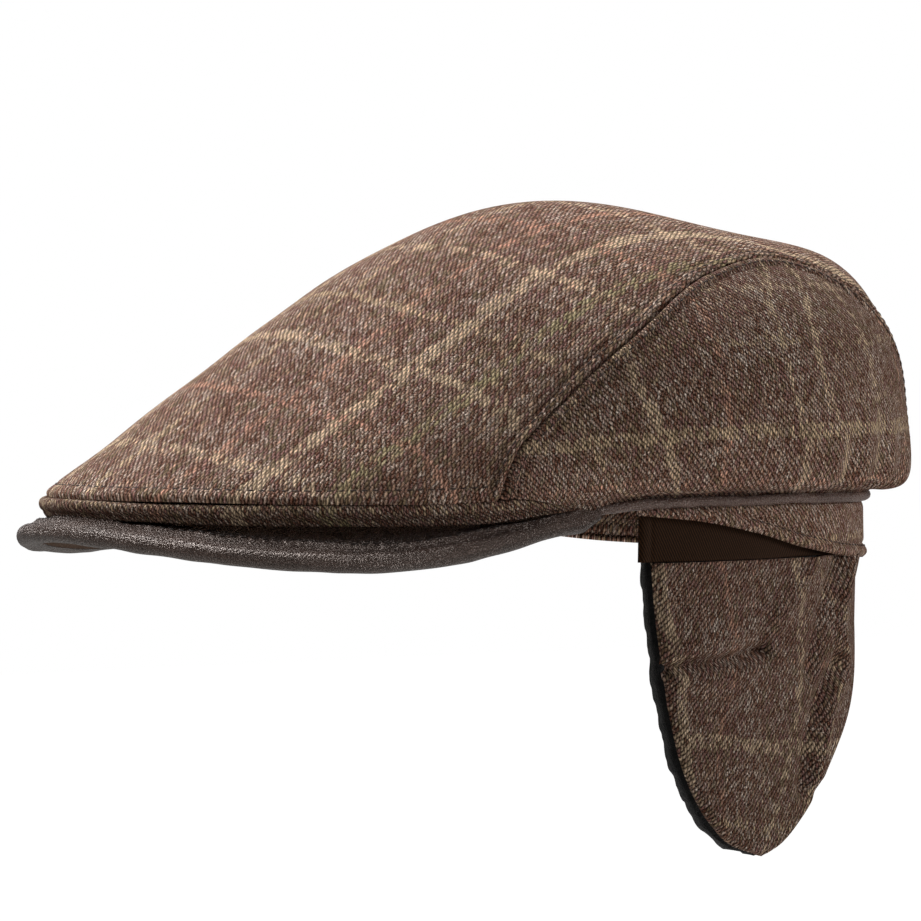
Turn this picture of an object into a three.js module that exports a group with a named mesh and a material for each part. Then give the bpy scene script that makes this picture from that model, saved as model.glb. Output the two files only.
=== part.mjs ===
// Flat cap of checked tweed with a leather-bound peak and two earflaps.
// Millimetres, +Z up. The front of the cap faces -Y and the wearer's left is +X.
// The origin is the middle of the head opening, level with its rim.
// The left earflap hangs down. The right one is folded up inside the crown.
import * as THREE from 'three';
import { mergeVertices } from 'three/addons/utils/BufferGeometryUtils.js';

// Cloth thicknesses and the clearance between neighbouring pieces.
const tweedWall = 2;
const fleeceWall = 4.5;
const twillWall = 1.2;
const facingWall = 1;
const seat = 0.3;

// The head opening is an oval. Angles are in degrees in plan: 0 is the front,
// 90 the wearer's left, 180 the back, and negative angles are the wearer's right.
const opening = { halfWidth: 80, halfLength: 100 };

// Crown, outside of the cloth: radius and height of each level, a row per plan angle.
const crownTop = 87.4;
const crownLevels = ['hem', 'roll', 'bulge', 'flank', 'shoulder', 'crest'];
const crownSections = [
  {
    angle: 0, hem: [155, -0.2], roll: [159, 5.4], bulge: [136, 21.4],
    flank: [102, 43], shoulder: [67, 65], crest: [33, 80.4],
  },
  {
    angle: 22.5, hem: [138, -1.2], roll: [142, 4.8], bulge: [124, 20],
    flank: [96, 41], shoulder: [65, 64.4], crest: [33, 80.6],
  },
  {
    angle: 45, hem: [106, -1.8], roll: [110, 4.6], bulge: [104, 21],
    flank: [86, 43.5], shoulder: [62, 65.4], crest: [32, 80.8],
  },
  {
    angle: 67.5, hem: [82, 3.9], roll: [88, 8], bulge: [91, 23.2],
    flank: [82, 46.5], shoulder: [61, 67], crest: [32, 81.6],
  },
  {
    angle: 90, hem: [79.4, 5.2], roll: [86.4, 8.2], bulge: [91, 25.4],
    flank: [83, 49.6], shoulder: [63, 69], crest: [33, 82.4],
  },
  {
    angle: 112.5, hem: [82.4, 5], roll: [91, 8], bulge: [94.4, 25.4],
    flank: [88, 49.6], shoulder: [68, 70], crest: [35, 82.4],
  },
  {
    angle: 135, hem: [88.4, 4.4], roll: [98.2, 7.8], bulge: [99.4, 25.6],
    flank: [93.8, 49.6], shoulder: [74, 70], crest: [37, 81.6],
  },
  {
    angle: 157.5, hem: [96.2, 4], roll: [106.8, 7.8], bulge: [106, 25.8],
    flank: [100.6, 49.8], shoulder: [82, 71], crest: [40, 80.6],
  },
  {
    angle: 180, hem: [99.2, 4], roll: [110.6, 7.8], bulge: [109, 25.8],
    flank: [103.6, 50], shoulder: [86, 71], crest: [42, 80.4],
  },
];

// Seam between the centre panel and a side panel: plan angle and crown level.
// Level 0 is the hem, 1 the roll, 2 the bulge and so on up to 6 at the top.
const panelSeam = [
  { angle: 48, level: 1.0 },
  { angle: 51, level: 1.9 },
  { angle: 60, level: 2.55 },
  { angle: 75, level: 3.2 },
  { angle: 97, level: 3.85 },
  { angle: 120, level: 4.05 },
  { angle: 137, level: 3.75 },
  { angle: 149, level: 3.0 },
  { angle: 157, level: 2.0 },
  { angle: 160, level: 1.0 },
  { angle: 161, level: 0 },
];
const seamGapShare = 0.0016; // half the gap at that seam, as a share of the crown's radius

// Strip of tweed under the front seam: its height in levels, and where it thins out.
const frontStrip = { level: 0.95, gapLevel: 0.08, fadeFrom: 50, fadeTo: 64, endAngle: 60, turnedHem: 7 };

// Peak: radius and height of the middle of its rolled leading edge.
const peakEdge = [
  { angle: 0, radius: 166, height: -5.2 },
  { angle: 12, radius: 160.8, height: -7.6 },
  { angle: 24, radius: 149.8, height: -11.4 },
  { angle: 36, radius: 132.4, height: -12.9 },
  { angle: 46, radius: 114.2, height: -9.6 },
  { angle: 56, radius: 97, height: -3.6 },
  { angle: 65, radius: 85.5, height: 1 },
];
const peak = {
  endAngle: 65,
  rollRadius: 2.5, // half the thickness of the bound edge
  boardDepth: 3.7, // thickness behind the binding
  bindingWidth: 9, // leather turned under the edge
  innerHeight: -1.2, // top of the peak where it joins the head opening
  innerEndHeight: 1.2, // the same at the peak's two ends
  innerRiseFrom: 42, // plan angle where that rise begins
  droop: 1.8, // how late the top curves down to the edge
  facingInset: 3, // steps that the facing stops short of each end
};

const piping = { halfWidth: 79, halfLength: 98.4, radius: 1.5, startAngle: 67 };
const pipingLine = [
  { angle: 67, height: 1.2 },
  { angle: 78, height: 2.8 },
  { angle: 110, height: 2.9 },
  { angle: 139, height: 2.3 },
  { angle: 180, height: 2.0 },
];

// Tweed band below the piping: height of its lower edge.
const backBandEdge = [
  { angle: 74, height: -0.6 },
  { angle: 90, height: -3 },
  { angle: 105, height: -7 },
  { angle: 118, height: -11.2 },
  { angle: 139, height: -15 },
  { angle: 180, height: -17 },
];
const backBand = { halfWidth: 78.6, halfLength: 98.2, wall: 1.6, startAngle: 74 };

// Earflap: plan angles of its front and rear edges, and how far down from the fold line.
const flapOutline = [
  { depth: 13.6, front: 77.4, rear: 163 },
  { depth: 26, front: 78.2, rear: 161.5 },
  { depth: 41, front: 79.8, rear: 155.5 },
  { depth: 56, front: 82, rear: 146 },
  { depth: 71, front: 85.3, rear: 134 },
  { depth: 81, front: 89, rear: 126.4 },
  { depth: 88.4, front: 93.6, rear: 119.6 },
  { depth: 94, front: 99, rear: 113.2 },
  { depth: 97.2, front: 106.6, rear: 106.6 },
];
const flap = { halfWidth: 76.2, halfLength: 96, foldHeight: -0.4, tipAngle: 106.6, fleeceMargin: 0.7 };
const twill = { depth: 13.3, front: 73.9, rear: 164 };
const foldedLevels = [1.5, 2.2, 2.9, 3.6, 4.3, 5.0, 5.6]; // crown levels the folded flap passes
// How far in from the outside of the crown the folded flap's outer side lies.
const foldedInset = tweedWall + seat + fleeceWall + tweedWall + 3.4;

// Numbers of faces.
const grain = {
  along: 28,
  across: 12,
  sideAcross: 6,
  strip: 32,
  peak: 34,
  piping: 48,
  band: 40,
  twill: 18,
  flap: 13,
};

const tweed = new THREE.MeshStandardMaterial({ color: 0x6b5446, roughness: 0.95, metalness: 0 });
const leather = new THREE.MeshStandardMaterial({ color: 0x3b2f2b, roughness: 0.45, metalness: 0 });
const brownTwill = new THREE.MeshStandardMaterial({ color: 0x33241b, roughness: 0.9, metalness: 0 });
const fleece = new THREE.MeshStandardMaterial({ color: 0x121110, roughness: 1, metalness: 0 });
const facing = new THREE.MeshStandardMaterial({ color: 0x4a382d, roughness: 0.9, metalness: 0 });

const mix = (a, b, share) => a + (b - a) * share;
const smooth = (from, to, x) => THREE.MathUtils.smoothstep(x, from, to);

// A point at a plan angle, radius and height.
function polar(angle, radius, height) {
  const turn = THREE.MathUtils.degToRad(angle);
  return new THREE.Vector3(radius * Math.sin(turn), -radius * Math.cos(turn), height);
}

// Radius of an oval at a plan angle.
function ovalRadius(angle, halfWidth, halfLength) {
  const turn = THREE.MathUtils.degToRad(angle);
  return 1 / Math.hypot(Math.sin(turn) / halfWidth, Math.cos(turn) / halfLength);
}

// Smooth value of a table's column at x. The curve may be level at its first and last row.
function fromTable(rows, xName, read, x, levelFirst = true, levelLast = true) {
  const last = rows.length - 1;
  let i = 0;
  while (i < last - 1 && rows[i + 1][xName] < x) i += 1;
  const at = (k) => rows[k][xName];
  const slope = (k) => {
    if ((levelFirst && k === 0) || (levelLast && k === last)) return 0;
    const low = Math.max(k - 1, 0);
    const high = Math.min(k + 1, last);
    return (read(rows[high]) - read(rows[low])) / (at(high) - at(low));
  };
  const span = at(i + 1) - at(i);
  const t = THREE.MathUtils.clamp((x - at(i)) / span, 0, 1);
  const a = read(rows[i]);
  const b = read(rows[i + 1]);
  const rise = (1 - t) * (1 - t) * t * slope(i) * span - (1 - t) * t * t * slope(i + 1) * span;
  return mix(a, b, t * t * (3 - 2 * t)) + rise;
}

function catmullRom(a, b, c, d, t) {
  const squared = (2 * a - 5 * b + 4 * c - d) * t * t;
  const cubed = (3 * b - a - 3 * c + d) * t * t * t;
  return 0.5 * (2 * b + (c - a) * t + squared + cubed);
}

// Radius and height of the crown's levels at a plan angle, with a guide point past each end.
const sectionCache = new Map();
function crownSection(angle) {
  const turned = Math.abs(((((angle + 180) % 360) + 360) % 360) - 180);
  const key = turned.toFixed(5);
  if (!sectionCache.has(key)) {
    const column = (level, k) => fromTable(crownSections, 'angle', (row) => row[level][k], turned);
    const points = crownLevels.map((level) => [column(level, 0), column(level, 1)]);
    const [hem, roll] = points;
    const crest = points[points.length - 1];
    const before = [2 * hem[0] - roll[0], 2 * hem[1] - roll[1]];
    sectionCache.set(key, [before, ...points, [0, crownTop], [-crest[0], crest[1]]]);
  }
  return sectionCache.get(key);
}

function crownPoint(angle, level) {
  const section = crownSection(angle);
  const i = THREE.MathUtils.clamp(Math.floor(level), 0, crownLevels.length - 1);
  const [a, b, c, d] = section.slice(i, i + 4);
  const at = (k) => catmullRom(a[k], b[k], c[k], d[k], level - i);
  return polar(angle, at(0), at(1));
}

// The crown is also read on a flat disc: its rim is the hem, its middle the top.
function discPlace(angle, level) {
  const spread = 1 - level / crownLevels.length;
  const turn = THREE.MathUtils.degToRad(angle);
  return new THREE.Vector2(spread * Math.sin(turn), -spread * Math.cos(turn));
}

function crownAt(place) {
  const angle = THREE.MathUtils.radToDeg(Math.atan2(place.x, -place.y));
  return crownPoint(angle, crownLevels.length * (1 - place.length()));
}

function crownNormal(place) {
  const step = 0.004;
  const side = new THREE.Vector2(step, 0);
  const ahead = new THREE.Vector2(0, step);
  const across = crownAt(place.clone().add(side)).sub(crownAt(place.clone().sub(side)));
  const along = crownAt(place.clone().add(ahead)).sub(crownAt(place.clone().sub(ahead)));
  return across.cross(along).normalize();
}

// A closed solid between two equal grids of points.
function solidBetween(outer, inner) {
  const rows = outer.length;
  const columns = outer[0].length;
  const positions = [...outer.flat(), ...inner.flat()].flatMap((p) => [p.x, p.y, p.z]);
  const out = (i, j) => i * columns + j;
  const inn = (i, j) => rows * columns + i * columns + j;
  const faces = [];
  const quad = (a, b, c, d) => faces.push(a, b, c, a, c, d);
  for (let i = 0; i < rows - 1; i += 1) {
    for (let j = 0; j < columns - 1; j += 1) {
      quad(out(i, j), out(i + 1, j), out(i + 1, j + 1), out(i, j + 1));
      quad(inn(i, j), inn(i, j + 1), inn(i + 1, j + 1), inn(i + 1, j));
    }
    quad(out(i + 1, 0), out(i, 0), inn(i, 0), inn(i + 1, 0));
    quad(out(i, columns - 1), out(i + 1, columns - 1), inn(i + 1, columns - 1), inn(i, columns - 1));
  }
  for (let j = 0; j < columns - 1; j += 1) {
    quad(out(0, j), out(0, j + 1), inn(0, j + 1), inn(0, j));
    quad(out(rows - 1, j + 1), out(rows - 1, j), inn(rows - 1, j), inn(rows - 1, j + 1));
  }
  return closedGeometry(positions, faces);
}

// A closed solid through a row of equal closed sections, each end closed by a fan.
function solidThrough(sections) {
  const count = sections[0].length;
  const last = sections.length - 1;
  const total = (points) => points.reduce((sum, p) => sum.add(p), new THREE.Vector3());
  const middles = [sections[0], sections[last]].map((points) => total(points).divideScalar(count));
  const corners = [...sections.flat(), ...middles];
  const positions = corners.flatMap((p) => [p.x, p.y, p.z]);
  const firstMiddle = sections.length * count;
  const faces = [];
  for (let j = 0; j < count; j += 1) {
    const k = (j + 1) % count;
    for (let i = 0; i < last; i += 1) {
      const a = i * count + j;
      const b = i * count + k;
      faces.push(a, b, b + count, a, b + count, a + count);
    }
    faces.push(firstMiddle, k, j, firstMiddle + 1, last * count + j, last * count + k);
  }
  return closedGeometry(positions, faces);
}

// Joins shared corners, drops faces that have closed up, and turns the faces outward.
function closedGeometry(positions, faces) {
  const loose = new THREE.BufferGeometry();
  loose.setAttribute('position', new THREE.Float32BufferAttribute(positions, 3));
  loose.setIndex(faces);
  const merged = mergeVertices(loose, 1e-4);
  const index = merged.getIndex().array;
  const place = merged.getAttribute('position');
  const kept = [];
  const corner = [new THREE.Vector3(), new THREE.Vector3(), new THREE.Vector3()];
  let volume = 0;
  for (let i = 0; i < index.length; i += 3) {
    const face = [index[i], index[i + 1], index[i + 2]];
    if (new Set(face).size === 3) {
      kept.push(face);
      face.forEach((vertex, k) => corner[k].fromBufferAttribute(place, vertex));
      volume += corner[0].dot(corner[1].clone().cross(corner[2]));
    }
  }
  merged.setIndex(kept.flatMap((face) => (volume < 0 ? face.reverse() : face)));
  merged.computeVertexNormals();
  return merged;
}

function grid(rows, columns, at) {
  return Array.from({ length: rows + 1 }, (_, i) =>
    Array.from({ length: columns + 1 }, (__, j) => at(i / rows, j / columns)));
}

// A wall of the crown over a patch of its disc.
function crownWall(places) {
  const outer = places.map((row) => row.map((place) => crownAt(place)));
  const inner = places.map((row, i) => row.map((place, j) =>
    outer[i][j].clone().addScaledVector(crownNormal(place), -tweedWall)));
  return solidBetween(outer, inner);
}

function stripLevel(angle) {
  return frontStrip.level * (1 - smooth(frontStrip.fadeFrom, frontStrip.fadeTo, Math.abs(angle)));
}

// Level of the lower edge of the crown's panels.
function panelFoot(angle) {
  const gap = Math.abs(angle) < frontStrip.fadeTo ? frontStrip.gapLevel : 0;
  return stripLevel(angle) + gap;
}

// The panel seam on the disc, from front to back. A side of 1 is the wearer's left.
const seamCurve = new THREE.SplineCurve(panelSeam.map((row) => discPlace(row.angle, row.level)));
function seamPlace(share, side, towardsCentre) {
  const place = seamCurve.getPointAt(share);
  const heading = seamCurve.getTangentAt(share);
  const shift = towardsCentre ? -seamGapShare : seamGapShare;
  place.add(new THREE.Vector2(heading.y, -heading.x).multiplyScalar(shift));
  return new THREE.Vector2(place.x * side, place.y);
}

function centrePanel() {
  const seamStart = panelSeam[0].angle;
  const seamEnd = panelSeam[panelSeam.length - 1].angle;
  const front = (c) => {
    const angle = mix(seamStart, -seamStart, c);
    return discPlace(angle, panelFoot(angle));
  };
  const back = (c) => discPlace(mix(seamEnd, 360 - seamEnd, c), 0);
  const blend = (s, c) => {
    const place = front(c).multiplyScalar(1 - s).addScaledVector(back(c), s);
    place.addScaledVector(seamPlace(s, 1, true), 1 - c).addScaledVector(seamPlace(s, -1, true), c);
    place.addScaledVector(front(0), -(1 - s) * (1 - c)).addScaledVector(front(1), -(1 - s) * c);
    place.addScaledVector(back(0), -s * (1 - c)).addScaledVector(back(1), -s * c);
    return place;
  };
  return crownWall(grid(grain.along, grain.across, blend));
}

function sidePanel(side) {
  const seamStart = panelSeam[0].angle;
  const seamEnd = panelSeam[panelSeam.length - 1].angle;
  const hem = (s) => {
    const angle = mix(seamStart, seamEnd, s);
    const place = discPlace(angle, panelFoot(angle));
    return new THREE.Vector2(place.x * side, place.y);
  };
  const across = (s, c) => hem(s).lerp(seamPlace(s, side, false), c);
  return crownWall(grid(grain.along, grain.sideAcross, across));
}

// One section of the peak, from the head opening to its leading edge.
function peakPlaces(angle) {
  const edgeRadius = fromTable(peakEdge, 'angle', (row) => row.radius, Math.abs(angle), true, false);
  const edgeHeight = fromTable(peakEdge, 'angle', (row) => row.height, Math.abs(angle), true, false);
  const innerRadius = ovalRadius(angle, opening.halfWidth, opening.halfLength);
  const reach = edgeRadius - innerRadius;
  const rise = smooth(peak.innerRiseFrom, peak.endAngle, Math.abs(angle));
  const innerHeight = mix(peak.innerHeight, peak.innerEndHeight, rise);
  const roll = Math.min(peak.rollRadius, reach / 2);
  const binding = Math.min(peak.bindingWidth, reach * 0.75);
  const board = peak.boardDepth * roll / peak.rollRadius;
  // Top of the peak at a distance in from the leading edge.
  const top = (inward) => {
    const share = 1 - inward / reach;
    return mix(innerHeight, edgeHeight + roll, Math.max(share, 0) ** peak.droop);
  };
  return { edgeRadius, reach, roll, binding, board, top };
}

const peakAngles = Array.from({ length: grain.peak + 1 }, (_, i) =>
  mix(-peak.endAngle, peak.endAngle, i / grain.peak));
const boardShares = [0, 0.2, 0.45, 0.7, 1]; // places across the board, from its binding inwards

function peakLeather() {
  return solidThrough(peakAngles.map((angle) => {
    const { edgeRadius, reach, roll, binding, board, top } = peakPlaces(angle);
    const at = (inward, below) => polar(angle, edgeRadius - inward, top(inward) - below);
    const section = [...boardShares].reverse().map((share) => at(mix(binding, reach, share), 0));
    for (let k = 0; k <= 6; k += 1) {
      const turn = Math.PI * k / 6;
      const out = edgeRadius - roll + roll * Math.sin(turn);
      section.push(polar(angle, out, top(roll) - roll + roll * Math.cos(turn)));
    }
    section.push(at(binding, 2 * roll));
    boardShares.forEach((share) => section.push(at(mix(binding, reach, share), board)));
    return section;
  }));
}

function peakUnderside() {
  const angles = peakAngles.slice(peak.facingInset, -peak.facingInset);
  const layer = (drop) => angles.map((angle) => {
    const { edgeRadius, reach, binding, board, top } = peakPlaces(angle);
    return boardShares.map((share) => {
      const inward = Math.max(mix(binding, reach, share), binding + seat);
      return polar(angle, edgeRadius - inward, top(inward) - board - seat - drop);
    });
  });
  return solidBetween(layer(0), layer(facingWall));
}

// The strip stands on the crown's edge, and its hem is turned in to lie on the peak.
function frontBand() {
  const angles = Array.from({ length: grain.strip + 1 }, (_, i) =>
    mix(-frontStrip.endAngle, frontStrip.endAngle, i / grain.strip));
  const turnedWall = tweedWall * 0.8;
  const outer = [];
  const inner = [];
  angles.forEach((angle) => {
    const { edgeRadius, top } = peakPlaces(angle);
    const upper = discPlace(angle, stripLevel(angle));
    const middle = discPlace(angle, stripLevel(angle) / 2);
    const hem = crownPoint(angle, 0);
    const hemRadius = Math.hypot(hem.x, hem.y);
    const turnedRadius = hemRadius - frontStrip.turnedHem;
    const rest = (radius) => top(edgeRadius - radius) + seat;
    const inside = (place) => crownAt(place).addScaledVector(crownNormal(place), -tweedWall);
    outer.push([crownAt(upper), crownAt(middle), hem, polar(angle, turnedRadius, rest(turnedRadius))]);
    const bend = polar(angle, hemRadius - turnedWall, hem.z + turnedWall);
    const turned = polar(angle, turnedRadius, rest(turnedRadius) + turnedWall);
    inner.push([inside(upper), inside(middle), bend, turned]);
  });
  return solidBetween(outer, inner);
}

function pipingHeight(angle) {
  return fromTable(pipingLine, 'angle', (row) => row.height, Math.min(angle, 360 - angle));
}

function pipingTube() {
  const sections = [];
  const sides = 8;
  for (let i = 0; i <= grain.piping; i += 1) {
    const angle = mix(piping.startAngle, 360 - piping.startAngle, i / grain.piping);
    const radius = ovalRadius(angle, piping.halfWidth, piping.halfLength);
    const height = pipingHeight(angle);
    sections.push(Array.from({ length: sides }, (_, k) => {
      const turn = 2 * Math.PI * k / sides;
      const out = radius + piping.radius * Math.cos(turn);
      return polar(angle, out, height + piping.radius * Math.sin(turn));
    }));
  }
  return solidThrough(sections);
}

function tweedBackBand() {
  const at = (s, c, inset) => {
    const angle = mix(backBand.startAngle, 360 - backBand.startAngle, s);
    const folded = Math.min(angle, 360 - angle);
    const foot = fromTable(backBandEdge, 'angle', (row) => row.height, folded, false, true);
    const radius = ovalRadius(angle, backBand.halfWidth, backBand.halfLength) - inset;
    return polar(angle, radius, mix(pipingHeight(angle) - piping.radius - seat, foot, c));
  };
  const layer = (inset) => grid(grain.band, 2, (s, c) => at(s, c, inset));
  return solidBetween(layer(0), layer(backBand.wall));
}

// A point of the earflap as it hangs: inset is measured in from its outer side.
function hangingPoint(angle, depth, inset) {
  const radius = ovalRadius(angle, flap.halfWidth, flap.halfLength);
  return polar(angle, radius - inset, flap.foldHeight - depth);
}

// The same point of the flap folded up inside the crown. Its outer side then faces the head.
const foldedCurves = new Map();
function foldedCurve(angle) {
  const key = angle.toFixed(4);
  if (!foldedCurves.has(key)) {
    const rim = ovalRadius(angle, flap.halfWidth, flap.halfLength) - twillWall - seat;
    const points = [0, 9].map((rise) => new THREE.Vector3(rim, 0, flap.foldHeight + rise));
    foldedLevels.forEach((level) => {
      const point = crownPoint(angle, level);
      const above = crownPoint(angle, level + 0.05);
      const out = new THREE.Vector2(Math.hypot(point.x, point.y), point.z);
      const on = new THREE.Vector2(Math.hypot(above.x, above.y), above.z).sub(out).normalize();
      points.push(new THREE.Vector3(out.x - on.y * foldedInset, 0, out.y + on.x * foldedInset));
    });
    foldedCurves.set(key, new THREE.CatmullRomCurve3(points, false, 'centripetal'));
  }
  return foldedCurves.get(key);
}

function foldedPoint(angle, depth, inset) {
  const middle = foldedCurve(flap.tipAngle);
  const atDepth = (curve) => curve.getPointAt(Math.min(depth / curve.getLength(), 0.999));
  const narrowing = ovalRadius(flap.tipAngle, flap.halfWidth, flap.halfLength) / atDepth(middle).x;
  const spread = flap.tipAngle + (angle - flap.tipAngle) * Math.max(narrowing, 1);
  const curve = foldedCurve(spread);
  const share = Math.min(depth / curve.getLength(), 0.999);
  const point = curve.getPointAt(share);
  const heading = curve.getTangentAt(share);
  return polar(-spread, point.x + heading.z * inset, point.z - heading.x * inset);
}

// One layer of an earflap: the place function hangs or folds it.
function flapLayer(place, from, to, margin) {
  const first = flapOutline[0].depth;
  const last = flapOutline[flapOutline.length - 1].depth;
  const at = (inset) => (s, c) => {
    const share = Math.sin(s * Math.PI / 2);
    const depth = mix(first, last, share);
    const front = fromTable(flapOutline, 'depth', (row) => row.front, depth, false, false);
    const rear = fromTable(flapOutline, 'depth', (row) => row.rear, depth, false, false);
    const width = s < 1 ? 1 : 0;
    const angle = mix(front - margin * width, rear + margin * width, c);
    return place(angle, depth, inset);
  };
  return solidBetween(grid(grain.flap, grain.flap, at(from)), grid(grain.flap, grain.flap, at(to)));
}

function twillBand(place) {
  const at = (inset) => (s, c) => place(mix(twill.front, twill.rear, s), mix(0, twill.depth, c), inset);
  return solidBetween(grid(grain.twill, 3, at(0)), grid(grain.twill, 3, at(twillWall)));
}

const cap = new THREE.Group();
function add(name, geometry, material) {
  const mesh = new THREE.Mesh(geometry, material);
  mesh.name = name;
  cap.add(mesh);
}

add('crown_center_panel', centrePanel(), tweed);
add('crown_side_panel_left', sidePanel(1), tweed);
add('crown_side_panel_right', sidePanel(-1), tweed);
add('front_band', frontBand(), tweed);
add('peak_leather', peakLeather(), leather);
add('peak_underside', peakUnderside(), facing);
add('leather_piping', pipingTube(), leather);
add('back_band', tweedBackBand(), tweed);
[['left', hangingPoint], ['right', foldedPoint]].forEach(([side, place]) => {
  const lining = tweedWall + seat;
  const lined = lining + fleeceWall;
  add(`twill_band_${side}`, twillBand(place), brownTwill);
  add(`earflap_${side}_tweed`, flapLayer(place, 0, tweedWall, 0), tweed);
  add(`earflap_${side}_fleece`, flapLayer(place, lining, lined, flap.fleeceMargin), fleece);
});

export default cap;
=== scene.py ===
import functools
import math

import bpy
import numpy as np
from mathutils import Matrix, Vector


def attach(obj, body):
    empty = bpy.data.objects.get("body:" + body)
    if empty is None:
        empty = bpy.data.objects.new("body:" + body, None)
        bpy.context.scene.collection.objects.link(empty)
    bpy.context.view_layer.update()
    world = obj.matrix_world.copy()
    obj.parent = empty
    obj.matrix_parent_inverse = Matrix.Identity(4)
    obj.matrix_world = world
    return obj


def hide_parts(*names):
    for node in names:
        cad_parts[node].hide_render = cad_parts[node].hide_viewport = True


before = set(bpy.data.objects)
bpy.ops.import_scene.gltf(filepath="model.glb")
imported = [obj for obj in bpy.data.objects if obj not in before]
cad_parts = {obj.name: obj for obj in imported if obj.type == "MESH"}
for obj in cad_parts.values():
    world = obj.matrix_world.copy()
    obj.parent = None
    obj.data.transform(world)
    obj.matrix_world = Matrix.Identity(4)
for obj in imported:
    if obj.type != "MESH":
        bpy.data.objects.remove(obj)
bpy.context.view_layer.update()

# Earflap cap of checked tweed, as worn. Tables are in millimetres, and plan angles in degrees:
# 0 is the front, 90 the wearer's left, 180 the back. The origin is the middle of the head opening.
mm = 0.001
bpy.context.scene.view_settings.view_transform = "Standard"
print("frame loaded")

camera = dict(
    azimuth=55, elevation=2.2, distance=1.7, lens=229.9, farthest=60,
    aim=(-0.0145, -0.0207, 0.0123),
)


def addCamera():
    turn, rise = math.radians(camera["azimuth"]), math.radians(camera["elevation"])
    away = Vector((math.sin(turn) * math.cos(rise), -math.cos(turn) * math.cos(rise), math.sin(rise)))
    look = Vector(camera["aim"]) - away * camera["distance"]
    turned = look.to_track_quat("-Z", "Y").to_euler()
    bpy.ops.object.camera_add(location=away * camera["distance"], rotation=turned)
    made = bpy.context.object
    made.data.lens = camera["lens"]
    made.data.clip_end = camera["farthest"]
    bpy.context.scene.camera = made


addCamera()
print("camera set")


# Smooth curves through short tables.

def smoothColumn(places, values, x, levelFirst=True, levelLast=True):
    places, values = np.asarray(places, float), np.asarray(values, float)
    last = len(places) - 1
    low = np.maximum(np.arange(last + 1) - 1, 0)
    high = np.minimum(np.arange(last + 1) + 1, last)
    slopes = (values[high] - values[low]) / (places[high] - places[low])
    if levelFirst:
        slopes[0] = 0
    if levelLast:
        slopes[last] = 0
    i = np.clip(np.searchsorted(places, x) - 1, 0, last - 1)
    span = places[i + 1] - places[i]
    t = np.clip((x - places[i]) / span, 0, 1)
    rise = (1 - t) ** 2 * t * slopes[i] * span - (1 - t) * t * t * slopes[i + 1] * span
    return values[i] + (values[i + 1] - values[i]) * t * t * (3 - 2 * t) + rise


def smoothStep(low, high, x):
    t = np.clip((x - low) / (high - low), 0, 1)
    return t * t * (3 - 2 * t)


def hump(x, at, width):  # 1 at the place, 0 away from it
    return np.exp(-((x - at) / width) ** 2)


def profile(x, humps, start=0):  # each hump is its place, rise and width
    return sum((rise * hump(x, at, width) for at, rise, width in humps), start)


def polar(angle, radius, height):
    turn = np.radians(angle)
    return np.stack(np.broadcast_arrays(radius * np.sin(turn), -radius * np.cos(turn), height), axis=-1)


def oval(angle, halfWidth, halfLength):
    turn = np.radians(angle)
    return 1 / np.hypot(np.sin(turn) / halfWidth, np.cos(turn) / halfLength)


def catmullRom(a, b, c, d, t):
    cubic = 3 * b - a - 3 * c + d
    return 0.5 * (2 * b + (c - a) * t + (2 * a - 5 * b + 4 * c - d) * t * t + cubic * t ** 3)


def spaced(count, crowding):  # from 0 to 1, closer together near both ends
    t = np.linspace(0, 1, count + 1)
    return (1 - crowding) * t + crowding * (0.5 - 0.5 * np.cos(np.pi * t))


def runLength(points, axis):  # length along the rows (1) or down the columns (0) of a grid of points
    steps = np.linalg.norm(np.diff(points, axis=axis), axis=-1)
    start = np.zeros_like(np.take(steps, [0], axis=axis))
    return np.concatenate([start, np.cumsum(steps, axis=axis)], axis=axis)


def pathLength(path):
    return runLength(path[None], 1)[0]


def paired(u, v):
    return np.stack(np.broadcast_arrays(u, v), axis=-1)


def unit(vectors):
    return vectors / np.maximum(np.linalg.norm(vectors, axis=-1, keepdims=True), 1e-9)


def gridNormals(points):
    return unit(np.cross(np.gradient(points, axis=1), np.gradient(points, axis=0)))


def tipNormals(points, bothEnds=False):  # one heading where the rows close up at a tip
    normals = gridNormals(points)
    normals[-2:] = unit(normals[-4].mean(axis=0))
    if bothEnds:
        normals[:2] = unit(normals[3].mean(axis=0))
    return normals


# Two maps that lay a curved grid of cloth flat with the least stretching. The first follows the across
# headings and the second the along headings, both of unit length and on the surface.
def layFlat(points, headings):
    laid = []
    for heading in headings:
        stepDown = np.sum(np.diff(points, axis=0) * (heading[1:] + heading[:-1]) / 2, axis=-1)
        stepAcross = np.sum(np.diff(points, axis=1) * (heading[:, 1:] + heading[:, :-1]) / 2, axis=-1)
        source = np.zeros(points.shape[:2])
        source[:-1] += stepDown
        source[1:] -= stepDown
        source[:, :-1] += stepAcross
        source[:, 1:] -= stepAcross
        rows, columns = source.shape
        whole = np.block([[source, source[:, ::-1]], [source[::-1], source[::-1, ::-1]]])
        waveDown = 2 - 2 * np.cos(np.pi * np.arange(2 * rows) / rows)
        waveAcross = 2 - 2 * np.cos(np.pi * np.arange(2 * columns) / columns)
        stiffness = waveDown[:, None] + waveAcross[None, :]
        stiffness[0, 0] = 1
        spectrum = np.fft.fft2(-whole) / stiffness
        spectrum[0, 0] = 0
        laid.append(np.real(np.fft.ifft2(spectrum))[:rows, :columns])
    return np.stack(laid, axis=-1)


def softness(points, amount, seed, longest=90, shortest=35):  # slow unevenness of a sewn, worn surface
    draw = np.random.default_rng(seed)
    waves = 9
    total = np.zeros(points.shape[:-1])
    for _ in range(waves):
        heading = draw.normal(size=3)
        heading /= np.linalg.norm(heading)
        length = draw.uniform(shortest, longest)
        total += np.sin(points @ heading * 2 * np.pi / length + draw.uniform(0, 6.28))
    return total * amount / math.sqrt(waves)


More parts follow.
